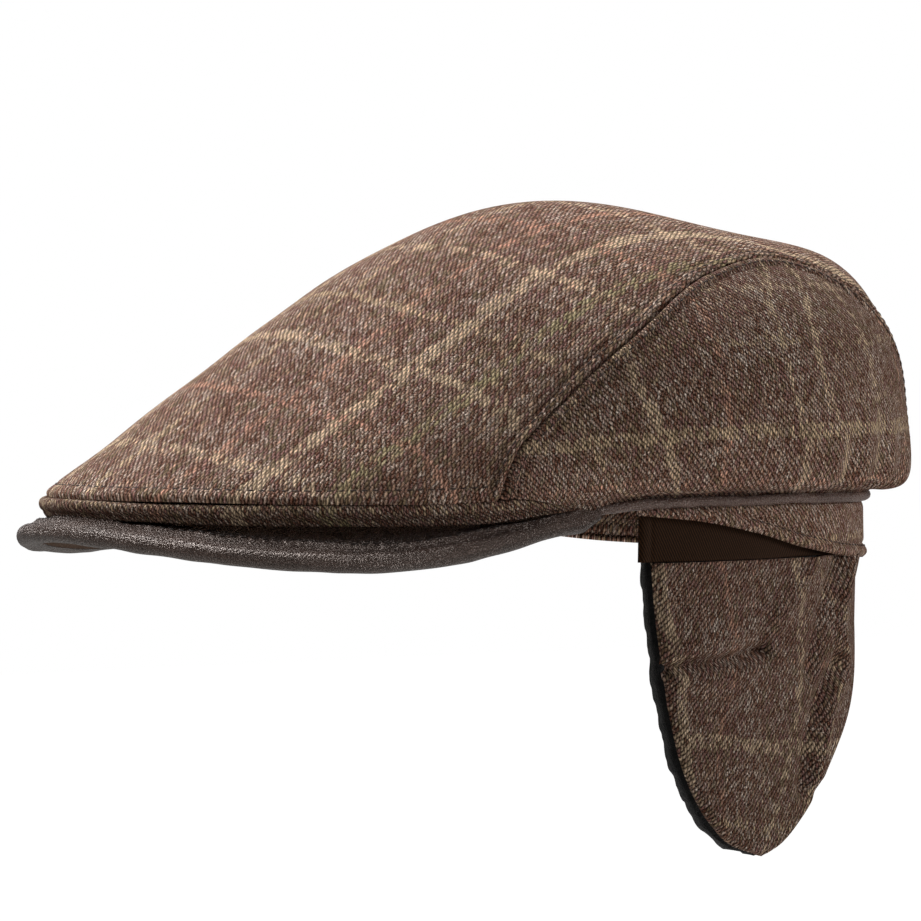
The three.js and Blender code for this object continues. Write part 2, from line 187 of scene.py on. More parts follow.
def nearPath(u, v, path):  # distance from each (u, v) to a line through the path's points
    best = np.full(np.shape(u), 1e9)
    for (au, av), (bu, bv) in zip(path[:-1], path[1:]):
        du, dv = bu - au, bv - av
        t = np.clip(((u - au) * du + (v - av) * dv) / (du ** 2 + dv ** 2), 0, 1)
        best = np.minimum(best, np.hypot(u - au - t * du, v - av - t * dv))
    return best


# Making and finishing a piece.

def freshStart():
    if bpy.context.object and bpy.context.object.mode != "OBJECT":
        bpy.ops.object.mode_set(mode="OBJECT")
    bpy.ops.object.select_all(action="DESELECT")


def gridPiece(name, points, maps=None):
    freshStart()
    rows, columns = points.shape[:2]
    bpy.ops.mesh.primitive_grid_add(
        x_subdivisions=columns - 1, y_subdivisions=rows - 1, size=1, calc_uvs=False)
    made = bpy.context.object
    made.name = made.data.name = name
    made.data.vertices.foreach_set("co", (points * mm).astype(np.float32).ravel())
    corner = np.zeros(len(made.data.loops), np.int32)
    made.data.loops.foreach_get("vertex_index", corner)
    for mapName, places in (maps or {}).items():
        layer = made.data.uv_layers.new(name=mapName)
        layer.data.foreach_set("uv", places.reshape(-1, 2)[corner].astype(np.float32).ravel())
    bpy.ops.object.mode_set(mode="EDIT")
    bpy.ops.mesh.select_all(action="SELECT")
    bpy.ops.mesh.remove_doubles(threshold=0.01 * mm)
    bpy.ops.object.mode_set(mode="OBJECT")
    bpy.ops.object.shade_smooth()
    return made


def giveWall(piece, wall):
    wallMaker = piece.modifiers.new("wall", "SOLIDIFY")
    wallMaker.thickness = wall * mm
    wallMaker.offset = -1


def place(piece, material, slot, *nodes):
    piece.data.materials.clear()
    piece.data.materials.append(material)
    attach(piece, "root")
    if nodes:
        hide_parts(*nodes)


def clothPiece(name, grid, wall, material, slot, node, **cut):
    piece = gridPiece(name, *grid)
    giveWall(piece, wall)
    place(piece, material, slot, node)


def closedAtEnds(points):  # a tube of points, drawn in at each end to the end's middle
    tips = [np.broadcast_to(points[k].mean(axis=0), points[k].shape)[None] for k in (0, -1)]
    return np.concatenate([tips[0], points, tips[1]])


stitch = dict(pitch=3.1, length=2.3, thread=0.55)


def stitchRow(name, path):  # one stitch, repeated along a line on the cloth
    freshStart()
    line = bpy.data.curves.new(name + "_line", "CURVE")
    line.dimensions = "3D"
    spline = line.splines.new("POLY")
    spline.points.add(len(path) - 1)
    weighted = np.column_stack([path * mm, np.ones(len(path))])
    spline.points.foreach_set("co", weighted.astype(np.float32).ravel())
    guide = bpy.data.objects.new(name + "_line", line)
    bpy.context.collection.objects.link(guide)
    bpy.ops.mesh.primitive_uv_sphere_add(segments=6, ring_count=5, radius=stitch["thread"] * mm / 2,
                                         location=(stitch["pitch"] * mm / 2, 0, 0),
                                         scale=(stitch["length"] / stitch["thread"], 1, 1))
    made = bpy.context.object
    made.name = made.data.name = name
    bpy.ops.object.transform_apply()
    repeat = made.modifiers.new("repeat", "ARRAY")
    repeat.use_relative_offset = False
    repeat.use_constant_offset = True
    repeat.constant_offset_displace = (stitch["pitch"] * mm, 0, 0)
    repeat.count = int(pathLength(path)[-1] / stitch["pitch"])
    follow = made.modifiers.new("follow", "CURVE")
    follow.object = guide
    bpy.ops.object.modifier_apply(modifier="repeat")
    bpy.ops.object.modifier_apply(modifier="follow")
    bpy.data.objects.remove(guide)
    bpy.ops.object.shade_smooth()
    return made


# The line that runs down a grid at a distance from its first column, less some rows at each end.
def lineOnCloth(points, distance, skip=4, lengths=None):
    lengths = runLength(points, 1) if lengths is None else lengths
    distance = np.broadcast_to(distance, len(points))
    return np.array([[np.interp(distance[k], lengths[k], points[k, :, axis]) for axis in range(3)]
                     for k in range(skip, len(points) - skip)])


# Materials.

def toLinear(hexCode, share=1.0):
    channels = [int(hexCode[i:i + 2], 16) / 255 for i in (1, 3, 5)]
    return tuple(c / 12.92 if c <= 0.04045 else ((c + 0.055) / 1.055) ** 2.4 for c in channels) + (share,)


def setInputs(node, inputs):
    for key, value in inputs.items():
        if isinstance(value, bpy.types.NodeSocket):
            node.id_data.links.new(value, node.inputs[key])
        else:
            node.inputs[key].default_value = value


# Inputs are given in their order, or as one dictionary by name. It gives the node's first output.
def addNode(tree, kind, *inputs, stops=None, **settings):
    node = tree.nodes.new("ShaderNode" + kind)
    for key, value in settings.items():
        setattr(node, key, value)
    setInputs(node, inputs[0] if inputs and isinstance(inputs[0], dict) else dict(enumerate(inputs)))
    for k, (position, colour, *share) in enumerate(stops or []):
        ramp = node.color_ramp.elements
        stop = ramp[k] if k < 2 else ramp.new(position)
        stop.position = position
        stop.color = toLinear(colour, *share)
    return node.outputs[0]


def newMaterial(name):  # gives the material, what adds a node to it, and its shader
    made = bpy.data.materials.new(name)
    made.use_nodes = True
    return made, functools.partial(addNode, made.node_tree), made.node_tree.nodes["Principled BSDF"]


def inMillimetres(add):  # places on the object
    spot = add("TexCoord").node.outputs["Object"]
    return add("VectorMath", {0: spot, "Scale": 1 / mm}, operation="SCALE")


tweedYarn = dict(
    rib=1.2,             # twill rib to twill rib
    run=1.0,             # float to float along a rib; coarser than a real yarn, so that it shows
    slopeRun=1.6,        # the same on the crown's slope, which is seen at a low angle
    slant=1.1,           # how far a float leans across its rib
    fibresPerMm=1.6, fibreShare=1.2,
    straysPerMm=0.4, wander=1.2,  # how far a yarn strays
    swaysPerMm=0.06, sway=2.4,  # how far a check line strays
    lineEdge=1.0,        # how far a check line takes to fade out
    dyePatchesPerMm=0.07, wornPatchesPerMm=0.11,
    relief=0.45,
    umber="#2d140b", bark="#533122", brown="#735243", taupe="#937c6e", sand="#b9a899", cream="#e0d6cb",
    maroon="#5f332d", olive="#6f5f48",
    beige="#cfb597", rust="#b98b75", straw="#c3aa8a", moss="#a69873",
)


def lineStops(lines, low, high, soft):
    stops = []
    for at, width, colour, strength in sorted(lines):
        half = width / 2
        for offset, share in ((-half - soft, 0), (-half, 1), (half, 1), (half + soft, 0)):
            stops.append(((at + offset - low) / (high - low), colour, strength * share))
    return stops


def checkLines(add, coordinate, lines, margin=10):  # gives the lines' colour and how strong they are
    low, high = min(line[0] for line in lines) - margin, max(line[0] for line in lines) + margin
    share = add("MapRange", coordinate, low, high)
    ramp = add("ValToRGB", share, stops=lineStops(lines, low, high, tweedYarn["lineEdge"]))
    return ramp, ramp.node.outputs["Alpha"]


def strayed(add, places, weave, perMm, amount):  # the places, moved about by slow noise
    cloud = add("TexNoise", {"Vector": weave, "Scale": perMm}).node.outputs["Color"]
    cloud = add("VectorMath", cloud, (0.5, 0.5, 0.5), operation="SUBTRACT")
    cloud = add("VectorMath", {0: cloud, "Scale": amount}, operation="SCALE")
    return add("VectorMath", places, cloud, operation="ADD")


# Wool tweed, woven in twill from melange yarns: slanted flecks in ribs, many browns, a matt and hairy face.
# How light each piece's face is painted is painted light and shade, for how light falls on that piece; the
# gap is how dark the painted shade between the floats is.
def tweed(name, across, along, paintedLightLevel, run, gap=0.07):
    cloth = tweedYarn
    made, add, shader = newMaterial(name)
    weave = add("UVMap", uv_map="weave")
    moved = strayed(add, weave, weave, cloth["straysPerMm"], cloth["wander"])
    turned = add("VectorRotate", {"Vector": moved, "Angle": math.radians(45)}, rotation_type="Z_AXIS")
    acrossRibs = add("SeparateXYZ", turned)
    alongRibs = acrossRibs.node.outputs[1]
    rib = add("Math", alongRibs, cloth["rib"], operation="DIVIDE")
    ribNumber = add("Math", rib, operation="FLOOR")
    inRib = add("Math", rib, operation="FRACT")
    step = add("Math", acrossRibs, run, operation="DIVIDE")
    step = add("Math", inRib, cloth["slant"], step, operation="MULTIPLY_ADD")
    start = add("TexWhiteNoise", {"W": ribNumber}, noise_dimensions="1D")
    step = add("Math", step, start, operation="ADD")
    floatNumber = add("Math", step, operation="FLOOR")
    inFloat = add("Math", step, operation="FRACT")
    cell = add("CombineXYZ", ribNumber, floatNumber)
    chance = add("TexWhiteNoise", {"Vector": cell})
    draws = add("SeparateColor", chance.node.outputs["Color"])

    # each float is a small dome
    domes = []
    for part, power in ((inRib, 1.5), (inFloat, 1.2)):
        half = add("Math", part, math.pi, operation="MULTIPLY")
        half = add("Math", half, operation="SINE")
        domes.append(add("Math", half, power, operation="POWER"))
    height = add("Math", domes[0], domes[1], operation="MULTIPLY")
    fibre = add("TexNoise", {
        "Vector": weave, "Scale": cloth["fibresPerMm"], "Detail": 3.0, "Roughness": 0.8})
    height = add("Math", fibre, cloth["fibreShare"], height, operation="MULTIPLY_ADD")

    # colours of the melange, and areas where one dye gathers
    tone = add("MapRange", fibre, 0.32, 0.68, -0.1, 0.66)
    tone = add("Math", chance, 0.55, tone, operation="MULTIPLY_ADD")
    colour = add("ValToRGB", tone, stops=[
        (0.0, cloth["umber"]), (0.2, cloth["bark"]), (0.42, cloth["brown"]), (0.64, cloth["taupe"]),
        (0.84, cloth["sand"]), (1.0, cloth["cream"])])
    depth = add("MapRange", {0: tone, 3: 0.55, 4: 1.35})
    for k, (shade, rare) in enumerate([(cloth["maroon"], 0.76), (cloth["olive"], 0.86)]):
        patches = {"Vector": weave, "W": 5.0 * k, "Scale": cloth["dyePatchesPerMm"]}
        area = add("TexNoise", patches, noise_dimensions="4D")
        gathered = add("Math", area, 0.9, draws.node.outputs[k], operation="MULTIPLY_ADD")
        gathered = add("MapRange", gathered, rare + 0.4, rare + 0.55, 0.0, 0.8)
        dyed = add("MixRGB", 1.0, toLinear(shade), depth, blend_type="MULTIPLY")
        colour = add("MixRGB", gathered, colour, dyed)

    # check lines take most of the floats they cross
    check = strayed(add, add("UVMap", uv_map="check"), weave, cloth["swaysPerMm"], cloth["sway"])
    worn = add("TexNoise", {"Vector": weave, "Scale": cloth["wornPatchesPerMm"]})
    worn = add("MapRange", worn, 0.35, 0.65, 0.65, 1.15)
    checkU = add("SeparateXYZ", check)
    checkV = checkU.node.outputs[1]
    for coordinate, lines in [(checkU, across[:8]), (checkV, along[:8]), (checkV, along[8:])]:
        if not lines:  # a ramp holds at most eight lines, so a long list takes two
            continue
        lineColour, strength = checkLines(add, coordinate, lines)
        strength = add("Math", strength, worn, operation="MULTIPLY")
        taken = add("Math", strength, draws.node.outputs[2], operation="SUBTRACT")
        taken = add("MapRange", taken, -0.15, 0.2, 0.0, 0.8)
        lineTone = add("MapRange", {0: tone, 3: 0.5, 4: 1.15})
        lineColour = add("MixRGB", 1.0, lineColour, lineTone, blend_type="MULTIPLY")
        colour = add("MixRGB", taken, colour, lineColour)

    # painted shade: the gaps between floats are painted darker and the float tops lighter, by the weave's
    # height
    shade = add("MapRange", height, 0.52, 1.5, gap * paintedLightLevel, (2.67 - gap) * paintedLightLevel)
    colour = add("MixRGB", 1.0, colour, shade, blend_type="MULTIPLY")
    relief = add("Bump", {"Height": height, "Strength": 0.9, "Distance": cloth["relief"] * mm})
    setInputs(shader, {
        "Base Color": colour, "Normal": relief, "Roughness": 0.95, "Specular IOR Level": 0.1,
        "Sheen Weight": 0.08, "Sheen Roughness": 0.5, "Sheen Tint": toLinear("#b0907c")})
    return made


leatherGrain = dict(
    pebblesPerMm=1.3, finePerMm=2.2, fineShare=1.4, tonesPerMm=0.08,
    relief=0.25,
    smooth=0.2, rough=0.34, gloss=0.95, glossTint="#ffe9dd",
    # Painted shade: past shadeFrom the leather is painted darker, in under the front strip and on the peak's
    # underside.
    shadeFrom=11.5, shadeTo=14.5, shade=0.2,  # on the weave map; the peak's underside is darker
)


# Nappa leather, finished and dyed dark brown: fine pebble grain that breaks up a soft gloss.
def leather(name, dark, light):
    made, add, shader = newMaterial(name)
    spot, skin = inMillimetres(add), leatherGrain
    grain = add("TexVoronoi", {"Vector": spot, "Scale": skin["pebblesPerMm"]}, feature="DISTANCE_TO_EDGE")
    fine = add("TexNoise", {"Vector": spot, "Scale": skin["finePerMm"], "Detail": 4.0, "Roughness": 0.65})
    slow = add("TexNoise", {"Vector": spot, "Scale": skin["tonesPerMm"], "Detail": 3.0})
    pebble = add("MapRange", grain, 0.0, 0.22)
    height = add("Math", fine, skin["fineShare"], pebble, operation="MULTIPLY_ADD")
    colour = add("ValToRGB", slow, stops=[(0.3, dark), (0.7, light)])
    inward = add("SeparateXYZ", add("UVMap", uv_map="weave")).node.outputs[1]
    # painted shade: darker in under the front strip and on the underside
    shaded = add("MapRange", inward, skin["shadeFrom"], skin["shadeTo"], 1.0, skin["shade"])
    colour = add("MixRGB", 1.0, colour, shaded, blend_type="MULTIPLY")
    # painted shade: the grain's creases are painted darker and its pebbles lighter
    creaseShade = add("MapRange", height, 0.3, 1.6, 0.5, 1.15)
    colour = add("MixRGB", 1.0, colour, creaseShade, blend_type="MULTIPLY")
    roughness = add("MapRange", fine, 0.3, 0.7, skin["smooth"], skin["rough"])
    relief = add("Bump", {"Height": height, "Distance": skin["relief"] * mm})
    setInputs(shader, {
        "Base Color": colour, "Normal": relief, "Roughness": roughness,
        "Specular IOR Level": skin["gloss"], "Specular Tint": toLinear(skin["glossTint"])})
    return made


twillYarn = dict(lean=0.55, straysPerMm=0.5, wander=0.4, fibresPerMm=3.0, fibreShare=0.5, relief=0.15)


# Cotton twill: fine slanted ribs, matt. The pitch is from rib to rib.
def fineTwill(name, light, dark, pitch):
    made, add, shader = newMaterial(name)
    yarn, weave = twillYarn, add("UVMap", uv_map="weave")
    across = add("SeparateXYZ", weave)
    slant = add("Math", across.node.outputs[1], yarn["lean"], across, operation="MULTIPLY_ADD")
    stray = add("TexNoise", {"Vector": weave, "Scale": yarn["straysPerMm"]})
    slant = add("Math", stray, yarn["wander"], slant, operation="MULTIPLY_ADD")
    slant = add("Math", slant, 2 * math.pi / pitch, operation="MULTIPLY")
    rib = add("Math", slant, operation="SINE")
    rib = add("MapRange", rib, -1.0, 1.0)
    fibre = add("TexNoise", {"Vector": weave, "Scale": yarn["fibresPerMm"]})
    both = add("Math", fibre, yarn["fibreShare"], rib, operation="MULTIPLY_ADD")
    # partly painted shade: the colour follows the ribs' height, darker in the grooves and lighter on the
    # ribs; the fibre noise is the cloth's own tone
    colour = add("ValToRGB", both, stops=[(0.25, dark), (1.0, light)])
    relief = add("Bump", {"Height": both, "Strength": 0.6, "Distance": yarn["relief"] * mm})
    setInputs(shader, {"Base Color": colour, "Normal": relief, "Roughness": 0.9, "Specular IOR Level": 0.12})
    return made


# Tone-on-tone sewing thread: two plies twisted together, with a faint shine.
def sewingThread(name, dark, light, wavesPerMm=0.8, relief=0.1):
    made, add, shader = newMaterial(name)
    spot = inMillimetres(add)
    ply = add("TexWave", {"Vector": spot, "Scale": wavesPerMm, "Distortion": 1.5}, bands_direction="DIAGONAL")
    # painted shade: darker in the grooves between the plies, lighter on their crowns
    colour = add("ValToRGB", ply, stops=[(0.1, dark), (0.9, light)])
    bump = add("Bump", {"Height": ply, "Strength": 0.6, "Distance": relief * mm})
    setInputs(shader, {"Base Color": colour, "Normal": bump, "Roughness": 0.6, "Specular IOR Level": 0.3})
    return made


# Knitted pile fleece: deep, matt black with soft tufts whose tips are painted a little lighter, a painted
# highlight.
def fleece(name, dark, light, tuftsPerMm=0.6, relief=1.2):
    made, add, shader = newMaterial(name)
    spot = inMillimetres(add)
    tuft = add("TexNoise", {"Vector": spot, "Scale": tuftsPerMm, "Detail": 5.0, "Roughness": 0.7})
    # painted highlight: the tufts' tips are painted lighter
    colour = add("ValToRGB", tuft, stops=[(0.3, dark), (0.75, light)])
    bump = add("Bump", {"Height": tuft, "Distance": relief * mm})
    setInputs(shader, {
        "Base Color": colour, "Normal": bump, "Roughness": 1.0, "Specular IOR Level": 0.1,
        "Sheen Weight": 0.15})
    return made


# Crown: radius and height of each of its levels, at the plan angles. Level 0 is the hem, 6 the top.
crown = dict(
    angles=(0, 22.5, 45, 67.5, 90, 112.5, 135, 157.5, 180),
    top=87.4,
    levels=[
        [(155, -0.2), (138, -1.2), (106, -1.8), (82, 3.9), (79.4, 5.2), (82.4, 5), (88.4, 4.4), (96.2, 4),
         (99.2, 4)],
        [(159, 5.4), (142, 4.8), (110, 4.6), (88, 8), (86.4, 8.2), (91, 8), (98.2, 7.8), (106.8, 7.8),
         (110.6, 7.8)],
        [(136, 21.4), (124, 20), (104, 21), (91, 23.2), (91, 25.4), (94.4, 25.4), (99.4, 25.6), (106, 25.8),
         (109, 25.8)],
        [(102, 43), (96, 41), (86, 43.5), (82, 46.5), (83, 49.6), (88, 49.6), (93.8, 49.6), (100.6, 49.8),
         (103.6, 50)],
        [(67, 65), (65, 64.4), (62, 65.4), (61, 67), (63, 69), (68, 70), (74, 70), (82, 71), (86, 71)],
        [(33, 80.4), (33, 80.6), (32, 80.8), (32, 81.6), (33, 82.4), (35, 82.4), (37, 81.6), (40, 80.6),
         (42, 80.4)],
    ],
    wall=2.0,
)
topLevel = len(crown["levels"])
# Seam between the centre panel and a side panel, from front to back: plan angle and crown level.
panelSeam = [(48, 0.96), (51, 1.9), (60, 2.55), (75, 3.2), (97, 3.85), (120, 4.05), (137, 3.75), (149, 3.0),
             (157, 2.0), (160, 1.0), (161, -0.3)]
seamStart, seamEnd = panelSeam[0][0], panelSeam[-1][0]
seam = dict(
    overlap=0.003,       # how far each panel goes in past the seam, as a share of the crown's radius
    # the cloth turns in at a seam, swells beside it and sinks at the stitches: distance, rise, width
    humps=[(0, -1.9, 0.8), (2.5, 0.6, 1.7), (4.6, -0.5, 0.7)], stitchAt=4.6,
    frontHumps=[(0, -0.9, 0.75), (2.2, 0.15, 1.4), (5, -0.28, 0.6)], frontStitchAt=5,
    tuckLevel=-0.3, tuckFade=(54, 62),  # how far the hem goes in behind the piping
)
frontStrip = dict(
    level=0.95, fade=(50, 64), gapLevel=0.01, gapFade=(50, 60), endAngle=60, wall=1.8,
    turnedHem=7, hemOut=3.2, hemOutFade=(14, 40),
    hidden=3.2,          # how far its top goes in behind the panels
)


def crownPoint(angle, level):
    angle, level = np.broadcast_arrays(np.asarray(angle, float), np.asarray(level, float))
    fromFront = np.abs((angle + 180) % 360 - 180)
    section = [[smoothColumn(crown["angles"], column, fromFront) for column in zip(*row)]
               for row in crown["levels"]]
    before = [2 * section[0][k] - section[1][k] for k in (0, 1)]
    top = [0 * fromFront, 0 * fromFront + crown["top"]]
    past = [-section[-1][0], section[-1][1]]
    section = np.array([before, *section, top, past])
    i = np.clip(np.floor(level), 0, topLevel - 1).astype(int)
    pick = [np.take_along_axis(section, (i + k)[None, None], axis=0)[0] for k in range(4)]
    radius, height = catmullRom(*pick, level - i)
    return polar(angle, radius, height)


# The crown spread on a disc, its hem round the rim and its top in the middle.
def discPlace(angle, level):
    spread = 1 - np.asarray(level, float) / topLevel
    turn = np.radians(angle)
    return paired(spread * np.sin(turn), -spread * np.cos(turn))


def angleAndLevel(places):
    return (np.degrees(np.arctan2(places[..., 0], -places[..., 1])),
            topLevel * (1 - np.linalg.norm(places, axis=-1)))


def lengthUp(level):  # on the cloth, from the hem up the cap's side to a level
    levels = np.linspace(0, topLevel, 121)
    return np.interp(level, levels, pathLength(crownPoint(90, levels)))


def stripLevel(angle):
    return frontStrip["level"] * (1 - smoothStep(*frontStrip["fade"], np.abs(angle)))


def panelFoot(angle):
    gap = frontStrip["gapLevel"] * (1 - smoothStep(*frontStrip["gapFade"], np.abs(angle)))
    return stripLevel(angle) + gap + seam["tuckLevel"] * smoothStep(*seam["tuckFade"], np.abs(angle))


# Places along the panel seam on the disc, at shares of its length, shifted past it by a share of the radius.
def seamPlaces(shares, side, shift):
    marks = discPlace(*np.array(panelSeam, float).T)
    last = len(marks) - 1
    step = np.linspace(0, last, 600)
    i = np.minimum(step.astype(int), last - 1)
    t = (step - i)[:, None]
    before, after = marks[np.maximum(i - 1, 0)], marks[np.minimum(i + 2, last)]
    path = catmullRom(before, marks[i], marks[i + 1], after, t)
    length = pathLength(path)
    heading = unit(np.gradient(path, axis=0))
    path = path + paired(heading[:, 1], -heading[:, 0]) * shift
    x, y = (np.interp(shares * length[-1], length, path[:, k]) for k in (0, 1))
    return paired(x * side, y)


# The panel is spread between its four edges on the disc, then raised to the crown.
def centrePanel():
    down, across = spaced(210, 0.55), spaced(130, 0.72)
    s, c = down[:, None, None], across[None, :, None]
    frontAngles = -seamStart + 2 * seamStart * across
    front = discPlace(frontAngles, panelFoot(frontAngles))[None]
    back = discPlace(360 - seamEnd - 2 * (180 - seamEnd) * across, seam["tuckLevel"])[None]
    right, left = (seamPlaces(down, side, seam["overlap"])[:, None] for side in (-1, 1))
    places = front * (1 - s) + back * s + right * (1 - c) + left * c
    places = places - front[:, :1] * (1 - s) * (1 - c) - front[:, -1:] * (1 - s) * c
    places = places - back[:, :1] * s * (1 - c) - back[:, -1:] * s * c
    base = crownPoint(*angleAndLevel(places))
    normals = gridNormals(base)
    x, y = base[..., 0], base[..., 1]

    # check map: x across, and length along the middle from front to back
    alongRow, alongColumn = runLength(base, 1), runLength(base, 0)
    middle = base[:, len(across) // 2]
    rising = np.arange(len(middle)) <= np.argmax(middle[:, 1])
    placesAlong, lengthsAlong = middle[rising, 1], pathLength(middle)[rising]
    lag = y - 0.0052 * x * x  # the cross lines bow towards the back at the sides
    checkV = np.interp(lag, placesAlong, lengthsAlong)
    turnsDown = 50  # past this y each column goes by its own length
    for k in range(len(across)):
        start = np.interp(turnsDown, np.maximum.accumulate(lag[:, k]), alongColumn[:, k])
        behind = alongColumn[:, k] - start
        turned = np.interp(turnsDown, placesAlong, lengthsAlong)
        checkV[:, k] = np.where(behind > 0, turned + behind, checkV[:, k])

    # weave map: the real distances on the cloth, lying as the check does
    back = unit(np.stack([0 * x, normals[..., 2] + 0.02, -normals[..., 1]], axis=-1))
    weaveMap = layFlat(base, (unit(np.cross(back, normals)), back))

    edge = np.minimum(alongRow, alongRow[:, -1:] - alongRow)
    offset = profile(edge, seam["humps"])
    offset += profile(alongColumn, seam["frontHumps"])
    offset += softness(base, 0.45, 11)
    offset += 0.35 * hump(edge, 9, 5) * np.sin(alongColumn / 7.5 + np.sin(alongColumn / 23))  # seam pucker
    points = base + normals * offset[..., None]
    return points, {"check": paired(x, checkV), "weave": weaveMap}, placesAlong, lengthsAlong


sideFolds = dict(  # soft upright folds low at the back, where the fullness meets the band
    folds=[  # plan angle, lean and rise
        (113, 0.14, 0.9), (118.5, 0.12, -1.3), (124, 0.1, 1.3), (130, 0.06, -1.4), (136, 0.03, 1.5),
        (142.5, 0.0, -1.2), (149, 0.0, 1.2), (156, 0.0, -0.6), (104, 0.1, 0.7), (86, 0.0, 0.5),
    ],
    depth=0.95, width=4.6, start=(1, 13), end=(16, 48),
)
mmPerDegree = 1.6        # round the side of the cap, on the check map


def sidePanel():  # the wearer's left one
    down, c = spaced(210, 0.5), spaced(80, 0.75)[None, :, None]
    hemAngles = seamStart + (seamEnd - seamStart) * down
    hem = discPlace(hemAngles, panelFoot(hemAngles))[:, None]
    places = seamPlaces(down, 1, -seam["overlap"])[:, None] * (1 - c) + hem * c
    angle, level = angleAndLevel(places)
    base = crownPoint(angle, level)
    normals = tipNormals(base, True)
    radius = np.hypot(base[..., 0], base[..., 1])
    alongRow, alongColumn = runLength(base, 1), runLength(base, 0)
    fromHem = alongRow[:, -1:] - alongRow

    # check map: up the cloth by level, and round it by angle, where the lines lean at the front and bend
    lean = 1 - smoothStep(75, 90, angle)
    bend = np.interp(level, (1.05, 1.78, 2.18, 2.75, 3.3, 3.85), (5.5, 2.5, -2, -3.5, 0.5, 10))
    wrapped = angle + 5.9 * lean * (level - 2) - bend * hump(angle, 116, 12)
    checkMap = paired(wrapped * mmPerDegree, lengthUp(level))
    up = unit(np.array([0, 0, 1.0]) - normals * normals[..., 2:3])
    weaveMap = layFlat(base, (unit(np.cross(up, normals)), up))

    foot = profile(fromHem, seam["frontHumps"]) * (1 - smoothStep(*frontStrip["fade"], angle))
    offset = profile(alongRow, seam["humps"]) + foot + softness(base, 0.4, 23)
    offset -= 1.2 * hump(np.linalg.norm(base - base[0, 0], axis=-1), 0, 4)  # its front corner is tucked in
    start, end = smoothStep(*sideFolds["start"], fromHem), 1 - smoothStep(*sideFolds["end"], fromHem)
    for at, foldLean, rise in sideFolds["folds"]:
        fold = hump(np.radians(angle - at) * radius - foldLean * fromHem, 0, sideFolds["width"])
        offset += sideFolds["depth"] * rise * fold * start * end
    offset += 0.3 * hump(alongRow, 9, 5) * np.sin(alongColumn / 7 + np.sin(alongColumn / 19))  # seam pucker
    points = base + normals * offset[..., None]
    return points, {"check": checkMap, "weave": weaveMap}


def mirrored(points, maps):
    return points[:, ::-1] * (-1, 1, 1), {name: table[:, ::-1] for name, table in maps.items()}


# Peak: plan angle, radius and height of the middle of its rolled leading edge.
peak = dict(
    edge=[(0, 166, -4.6), (12, 160.8, -7), (24, 149.8, -10.8), (36, 132.4, -12.3), (46, 114.2, -9.1),
          (56, 97, -3.3), (65, 85.5, 1)],
    endAngle=65, rollRadius=3.1, bindingWidth=9, bindingUnder=0.8, innerHeight=-1.2, innerEndHeight=1.2,
    innerRiseFrom=42, droop=1.8, opening=(80, 100), facingWall=1.0,
    lift=(1.0, 1.3),     # the front of the board bows up inside its edge, more so on the wearer's right
    liftFade=(14, 36), rightSide=(4, 16),
    # distance in from the edge, height, width, how much a stitch draws it, and the angles where it ends
    ridges=dict(
        inner=(10.7, 2.3, 1.5, -0.15, (20, 42)),
        valley=(8.2, -1.0, 0.9, 0.5, (40, 60)),
        outer=(4.9, 0.4, 1.4, -0.3, (50, 64)),
    ),
    ridgeFade=0.85,      # how much of each ridge is gone past its end, and on the wearer's right
    stitchPitch=3.2, stitchEnd=14,
)


def peakAt(angle):
    lift = peak["lift"][0] + peak["lift"][1] * smoothStep(*peak["rightSide"], -angle)
    angle = np.abs(angle)
    places, radii, heights = zip(*peak["edge"])
    radius = smoothColumn(places, radii, angle, True, False)
    height = smoothColumn(places, heights, angle, True, False)
    reach = radius - oval(angle, *peak["opening"])
    rise = smoothStep(peak["innerRiseFrom"], peak["endAngle"], angle)
    lift = lift * (1 - smoothStep(*peak["liftFade"], angle))
    inner = peak["innerHeight"] + (peak["innerEndHeight"] - peak["innerHeight"]) * rise
    roll = np.minimum(peak["rollRadius"], reach / 2)
    binding = np.minimum(peak["bindingWidth"], reach * 0.75) * peak["bindingUnder"]

    def top(inward):
        bow = lift * smoothStep(2, 11, inward) * (1 - smoothStep(0.5, 0.9, inward / reach))
        return inner + (height + roll - inner) * np.maximum(1 - inward / reach, 0) ** peak["droop"] + bow

    return dict(radius=radius, reach=reach, roll=roll, binding=binding, top=top)


